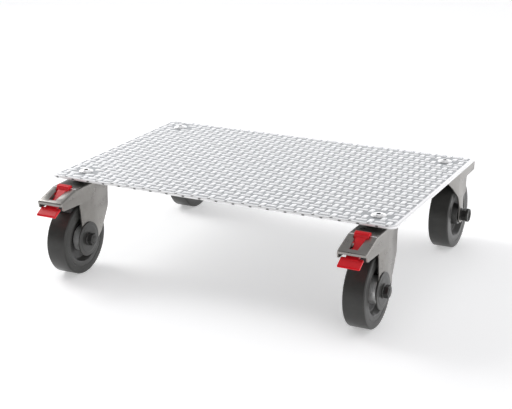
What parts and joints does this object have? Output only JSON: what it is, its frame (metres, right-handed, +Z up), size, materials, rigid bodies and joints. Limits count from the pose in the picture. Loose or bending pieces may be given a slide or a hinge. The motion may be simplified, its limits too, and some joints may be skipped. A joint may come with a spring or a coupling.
{
  "type": "flatbed platform truck",
  "caption": "Low flatbed platform truck: a bright tread-plate deck bolted to swivel castors with grey wheels; the front castors have red brake pedals.",
  "frame": {"origin": "on the floor, under the centre of the truck's overall box (pedals included)", "axes": "+Z up, +X along the deck's length, -Y towards the braked front castors"},
  "size_m": [1, 0.917, 0.2763],
  "materials": {
    "deck": "bright tread plate",
    "fork_zinc": "satin zinc plated",
    "head_zinc": "satin zinc plated",
    "bolt_steel": "zinc plated fastener",
    "bearing_steel": "polished bearing steel",
    "cover_nylon": "satin moulded",
    "wheel_nylon": "satin moulded",
    "tyre": "non-marking grey, satin",
    "lever_red": "semi-gloss moulded",
    "shoe_rubber": "matt"
  },
  "bodies": {
    "deck": {"deck_plate": "deck", "front_left_king_bolt": "bolt_steel", "front_left_head_plate": "head_zinc", "front_left_king_nut": "bolt_steel", "front_right_king_bolt": "bolt_steel", "front_right_head_plate": "head_zinc", "front_right_king_nut": "bolt_steel", "rear_left_king_bolt": "bolt_steel", "rear_left_head_plate": "head_zinc", "rear_left_king_nut": "bolt_steel", "rear_right_king_bolt": "bolt_steel", "rear_right_head_plate": "head_zinc", "rear_right_king_nut": "bolt_steel"},
    "front_left_swivel": {"front_left_fork": "fork_zinc", "front_left_ball_race": "bearing_steel", "front_left_axle_bolt": "bolt_steel", "front_left_axle_nut": "bolt_steel", "front_left_axle_sleeve": "bearing_steel", "front_left_cover_disc_right": "cover_nylon", "front_left_cover_disc_left": "cover_nylon", "front_left_lever_pin": "bolt_steel", "front_left_detent_spring": "bearing_steel"},
    "front_left_wheel": {"front_left_tyre": "tyre", "front_left_wheel_centre": "wheel_nylon", "front_left_roller_bearing": "bearing_steel"},
    "front_left_lever": {"front_left_brake_lever": "lever_red"},
    "front_left_shoe": {"front_left_brake_shoe": "shoe_rubber"},
    "front_right_swivel": {"front_right_fork": "fork_zinc", "front_right_ball_race": "bearing_steel", "front_right_axle_bolt": "bolt_steel", "front_right_axle_nut": "bolt_steel", "front_right_axle_sleeve": "bearing_steel", "front_right_cover_disc_right": "cover_nylon", "front_right_cover_disc_left": "cover_nylon", "front_right_lever_pin": "bolt_steel", "front_right_detent_spring": "bearing_steel"},
    "front_right_wheel": {"front_right_tyre": "tyre", "front_right_wheel_centre": "wheel_nylon", "front_right_roller_bearing": "bearing_steel"},
    "front_right_lever": {"front_right_brake_lever": "lever_red"},
    "front_right_shoe": {"front_right_brake_shoe": "shoe_rubber"},
    "rear_left_swivel": {"rear_left_fork": "fork_zinc", "rear_left_ball_race": "bearing_steel", "rear_left_axle_bolt": "bolt_steel", "rear_left_axle_nut": "bolt_steel", "rear_left_axle_sleeve": "bearing_steel"},
    "rear_left_wheel": {"rear_left_tyre": "tyre", "rear_left_wheel_centre": "wheel_nylon", "rear_left_roller_bearing": "bearing_steel"},
    "rear_right_swivel": {"rear_right_fork": "fork_zinc", "rear_right_ball_race": "bearing_steel", "rear_right_axle_bolt": "bolt_steel", "rear_right_axle_nut": "bolt_steel", "rear_right_axle_sleeve": "bearing_steel"},
    "rear_right_wheel": {"rear_right_tyre": "tyre", "rear_right_wheel_centre": "wheel_nylon", "rear_right_roller_bearing": "bearing_steel"}
  },
  "joints": [
    {"name": "front_left_swivel_turn", "type": "hinge", "parent": "deck", "child": "front_left_swivel", "pos_m": [-0.43, -0.2575, 0.2557], "axis": [0, 0, 1], "continuous": true},
    {"name": "front_left_wheel_roll", "type": "hinge", "parent": "front_left_swivel", "child": "front_left_wheel", "pos_m": [-0.43, -0.3195, 0.1], "axis": [1, 0, 0], "continuous": true},
    {"name": "front_left_lever_press", "type": "hinge", "parent": "front_left_swivel", "child": "front_left_lever", "pos_m": [-0.43, -0.3615, 0.238], "axis": [1, 0, 0], "range_deg": [0, 12]},
    {"name": "front_left_shoe_travel", "type": "slide", "parent": "front_left_swivel", "child": "front_left_shoe", "axis": [0, 0, -1], "range_m": [0, 0.0033]},
    {"name": "front_right_swivel_turn", "type": "hinge", "parent": "deck", "child": "front_right_swivel", "pos_m": [0.43, -0.2575, 0.2557], "axis": [0, 0, 1], "continuous": true},
    {"name": "front_right_wheel_roll", "type": "hinge", "parent": "front_right_swivel", "child": "front_right_wheel", "pos_m": [0.43, -0.3195, 0.1], "axis": [1, 0, 0], "continuous": true},
    {"name": "front_right_lever_press", "type": "hinge", "parent": "front_right_swivel", "child": "front_right_lever", "pos_m": [0.43, -0.3615, 0.238], "axis": [1, 0, 0], "range_deg": [0, 12]},
    {"name": "front_right_shoe_travel", "type": "slide", "parent": "front_right_swivel", "child": "front_right_shoe", "axis": [0, 0, -1], "range_m": [0, 0.0033]},
    {"name": "rear_left_swivel_turn", "type": "hinge", "parent": "deck", "child": "rear_left_swivel", "pos_m": [-0.43, 0.2785, 0.2557], "axis": [0, 0, 1], "continuous": true},
    {"name": "rear_left_wheel_roll", "type": "hinge", "parent": "rear_left_swivel", "child": "rear_left_wheel", "pos_m": [-0.43, 0.3405, 0.1], "axis": [1, 0, 0], "continuous": true},
    {"name": "rear_right_swivel_turn", "type": "hinge", "parent": "deck", "child": "rear_right_swivel", "pos_m": [0.43, 0.2785, 0.2557], "axis": [0, 0, 1], "continuous": true},
    {"name": "rear_right_wheel_roll", "type": "hinge", "parent": "rear_right_swivel", "child": "rear_right_wheel", "pos_m": [0.43, 0.3405, 0.1], "axis": [1, 0, 0], "continuous": true}
  ],
  "couplings": [
    {"joint": "front_left_shoe_travel", "follows": "front_left_lever_press", "m_per_rad": 0.0153},
    {"joint": "front_right_shoe_travel", "follows": "front_right_lever_press", "m_per_rad": 0.0153}
  ]
}
